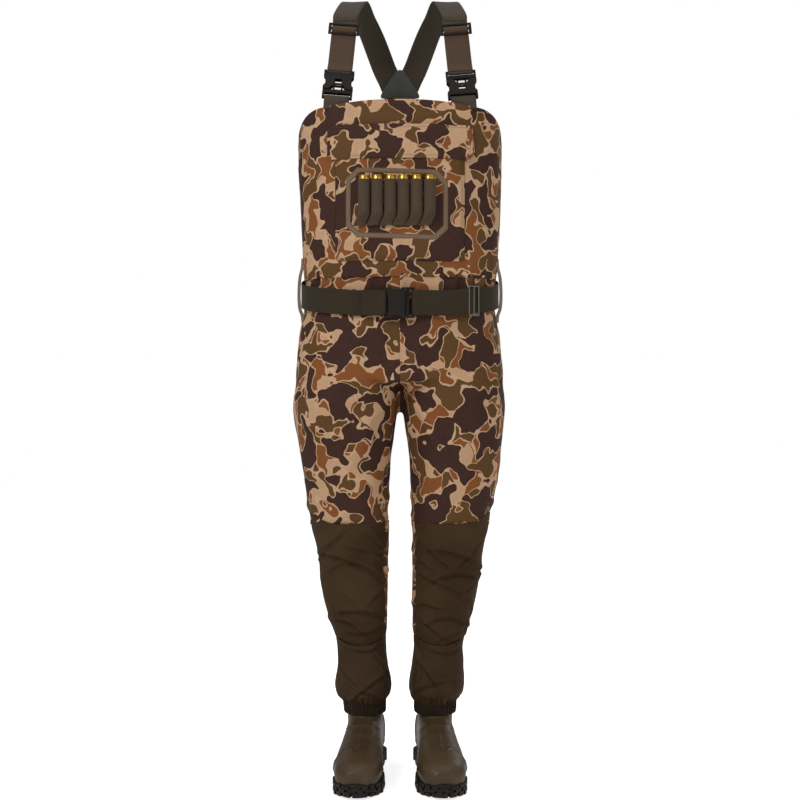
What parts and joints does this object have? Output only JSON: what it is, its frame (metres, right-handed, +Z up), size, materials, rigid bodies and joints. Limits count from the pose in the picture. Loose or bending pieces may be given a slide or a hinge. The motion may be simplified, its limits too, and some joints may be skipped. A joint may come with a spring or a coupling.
{
  "type": "chest waders",
  "caption": "Chest waders standing on their moulded rubber boots, with release-buckle suspenders, a wading belt, and a flapped chest pocket carrying elastic shell loops.",
  "frame": {"origin": "on the ground under the centre of the whole object's box", "axes": "+Z up, -Y the wearer's front (toes and chest pocket), +X the wearer's left"},
  "size_m": [0.4368, 0.3807, 1.5759],
  "materials": {
    "camo_cloth": "matte",
    "guard_cloth": "matte",
    "gaiter_cloth": "satin",
    "brown_elastic": "matte",
    "boot_rubber": "satin",
    "lining_foam": "matte",
    "sole_rubber": "matte",
    "olive_webbing": "matte",
    "brown_webbing": "matte",
    "buckle_plastic": "satin",
    "taupe_trim": "matte",
    "loop_elastic": "matte",
    "shell_brass": "gloss",
    "yoke_rubber": "matte",
    "belt_web": "matte",
    "wire_steel": "satin"
  },
  "bodies": {
    "torso": {"bib_front": "camo_cloth", "bib_back": "camo_cloth", "seat_right": "camo_cloth", "seat_left": "camo_cloth", "hip_gusset_right": "camo_cloth", "hip_gusset_left": "camo_cloth", "chest_pocket": "camo_cloth", "loop_frame": "taupe_trim", "shell_loops": "loop_elastic", "belt_webbing": "belt_web", "belt_front_run": "belt_web", "belt_loops": "taupe_trim", "belt_socket": "buckle_plastic", "bib_tabs": "olive_webbing", "back_tab": "olive_webbing", "yoke_patch": "yoke_rubber", "shoulder_strap_right": "olive_webbing", "shoulder_strap_left": "olive_webbing", "front_webbing_right": "brown_webbing", "front_webbing_left": "brown_webbing", "suspender_plug_right": "buckle_plastic", "suspender_socket_left": "buckle_plastic"},
    "thigh_right": {"thigh_panel_right": "camo_cloth", "knee_guard_right": "guard_cloth"},
    "shin_right": {"shin_guard_right": "guard_cloth", "gaiter_right": "gaiter_cloth", "elastic_hem_right": "brown_elastic", "boot_upper_right": "boot_rubber", "boot_lining_right": "lining_foam", "boot_footbed_right": "lining_foam", "boot_outsole_right": "sole_rubber"},
    "thigh_left": {"thigh_panel_left": "camo_cloth", "knee_guard_left": "guard_cloth"},
    "shin_left": {"shin_guard_left": "guard_cloth", "gaiter_left": "gaiter_cloth", "elastic_hem_left": "brown_elastic", "boot_upper_left": "boot_rubber", "boot_lining_left": "lining_foam", "boot_footbed_left": "lining_foam", "boot_outsole_left": "sole_rubber"},
    "pocket_flap": {"pocket_flap": "camo_cloth"},
    "shotshell_1": {"shotshell_1": "shell_brass"},
    "shotshell_2": {"shotshell_2": "shell_brass"},
    "shotshell_3": {"shotshell_3": "shell_brass"},
    "shotshell_4": {"shotshell_4": "shell_brass"},
    "shotshell_5": {"shotshell_5": "shell_brass"},
    "shotshell_6": {"shotshell_6": "shell_brass"},
    "upper_buckle_right": {"suspender_socket_right": "buckle_plastic"},
    "strap_adjuster_right": {"suspender_adjuster_right": "buckle_plastic"},
    "arm_inner_right": {"suspender_arm_inner_right": "buckle_plastic"},
    "arm_outer_right": {"suspender_arm_outer_right": "buckle_plastic"},
    "upper_buckle_left": {"suspender_plug_left": "buckle_plastic"},
    "strap_adjuster_left": {"suspender_adjuster_left": "buckle_plastic"},
    "arm_inner_left": {"suspender_arm_inner_left": "buckle_plastic"},
    "arm_outer_left": {"suspender_arm_outer_left": "buckle_plastic"},
    "belt_plug": {"belt_plug": "buckle_plastic"},
    "belt_arm_upper": {"belt_arm_upper": "buckle_plastic"},
    "belt_arm_lower": {"belt_arm_lower": "buckle_plastic"},
    "belt_adjuster": {"belt_adjuster": "wire_steel"}
  },
  "joints": [
    {"name": "hip_right", "type": "hinge", "parent": "torso", "child": "thigh_right", "pos_m": [-0.11, 0.0473, 0.765], "axis": [-1, 0, 0], "range_deg": [-15, 40], "deforming": ["hip_gusset_right"]},
    {"name": "knee_right", "type": "hinge", "parent": "thigh_right", "child": "shin_right", "pos_m": [-0.098, 0.0433, 0.45], "axis": [1, 0, 0], "range_deg": [0, 50], "deforming": ["knee_guard_right"]},
    {"name": "hip_left", "type": "hinge", "parent": "torso", "child": "thigh_left", "pos_m": [0.11, 0.0473, 0.765], "axis": [-1, 0, 0], "range_deg": [-15, 40], "deforming": ["hip_gusset_left"]},
    {"name": "knee_left", "type": "hinge", "parent": "thigh_left", "child": "shin_left", "pos_m": [0.098, 0.0433, 0.45], "axis": [1, 0, 0], "range_deg": [0, 50], "deforming": ["knee_guard_left"]},
    {"name": "flap_lift", "type": "hinge", "parent": "torso", "child": "pocket_flap", "pos_m": [0, -0.089, 1.297], "axis": [-1, 0, 0], "range_deg": [0, 150]},
    {"name": "shell_1_pull", "type": "slide", "parent": "torso", "child": "shotshell_1", "axis": [0, 0, 1], "range_m": [0, 0.06]},
    {"name": "shell_2_pull", "type": "slide", "parent": "torso", "child": "shotshell_2", "axis": [0, 0, 1], "range_m": [0, 0.06]},
    {"name": "shell_3_pull", "type": "slide", "parent": "torso", "child": "shotshell_3", "axis": [0, 0, 1], "range_m": [0, 0.06]},
    {"name": "shell_4_pull", "type": "slide", "parent": "torso", "child": "shotshell_4", "axis": [0, 0, 1], "range_m": [0, 0.06]},
    {"name": "shell_5_pull", "type": "slide", "parent": "torso", "child": "shotshell_5", "axis": [0, 0, 1], "range_m": [0, 0.06]},
    {"name": "shell_6_pull", "type": "slide", "parent": "torso", "child": "shotshell_6", "axis": [0, 0, 1], "range_m": [0, 0.06]},
    {"name": "suspender_release_right", "type": "slide", "parent": "torso", "child": "upper_buckle_right", "axis": [0.0847, 0.2655, 0.9604], "range_m": [0, 0.032], "deforming": ["front_webbing_right"]},
    {"name": "adjuster_slide_right", "type": "slide", "parent": "upper_buckle_right", "child": "strap_adjuster_right", "axis": [0.0847, 0.2655, 0.9604], "range_m": [-0.04, 0.012], "deforming": ["front_webbing_right"]},
    {"name": "arm_inner_right_press", "type": "hinge", "parent": "torso", "child": "arm_inner_right", "pos_m": [-0.10783, -0.04839, 1.37091], "axis": [0, -0.9638, 0.2665], "range_deg": [0, 6], "stiffness_Nm_per_rad": 0.1},
    {"name": "arm_outer_right_press", "type": "hinge", "parent": "torso", "child": "arm_outer_right", "pos_m": [-0.14071, -0.04764, 1.3736], "axis": [0, 0.9638, -0.2665], "range_deg": [0, 6], "stiffness_Nm_per_rad": 0.1},
    {"name": "suspender_release_left", "type": "slide", "parent": "torso", "child": "upper_buckle_left", "axis": [-0.0847, 0.2655, 0.9604], "range_m": [0, 0.032], "deforming": ["front_webbing_left"]},
    {"name": "adjuster_slide_left", "type": "slide", "parent": "upper_buckle_left", "child": "strap_adjuster_left", "axis": [-0.0847, 0.2655, 0.9604], "range_m": [-0.04, 0.012], "deforming": ["front_webbing_left"]},
    {"name": "arm_inner_left_press", "type": "hinge", "parent": "upper_buckle_left", "child": "arm_inner_left", "pos_m": [0.10597, -0.04255, 1.39204], "axis": [0, -0.9638, 0.2665], "range_deg": [0, 6], "stiffness_Nm_per_rad": 0.1},
    {"name": "arm_outer_left_press", "type": "hinge", "parent": "upper_buckle_left", "child": "arm_outer_left", "pos_m": [0.13885, -0.0418, 1.39473], "axis": [0, 0.9638, -0.2665], "range_deg": [0, 6], "stiffness_Nm_per_rad": 0.1},
    {"name": "belt_release", "type": "slide", "parent": "torso", "child": "belt_plug", "axis": [1, 0, 0], "range_m": [0, 0.03], "deforming": ["belt_front_run"]},
    {"name": "belt_arm_upper_press", "type": "hinge", "parent": "belt_plug", "child": "belt_arm_upper", "pos_m": [0.0095, -0.0828, 0.96287], "axis": [0, -1, 0], "range_deg": [0, 6], "stiffness_Nm_per_rad": 0.1},
    {"name": "belt_arm_lower_press", "type": "hinge", "parent": "belt_plug", "child": "belt_arm_lower", "pos_m": [0.0095, -0.0828, 0.92987], "axis": [0, 1, 0], "range_deg": [0, 6], "stiffness_Nm_per_rad": 0.1},
    {"name": "belt_adjuster_slide", "type": "slide", "parent": "torso", "child": "belt_adjuster", "axis": [0.8828, 0.4698, 0], "range_m": [-0.012, 0.012]}
  ],
  "couplings": [
    {"joint": "arm_outer_right_press", "follows": "arm_inner_right_press", "ratio": 1},
    {"joint": "arm_outer_left_press", "follows": "arm_inner_left_press", "ratio": 1},
    {"joint": "belt_arm_lower_press", "follows": "belt_arm_upper_press", "ratio": 1}
  ]
}
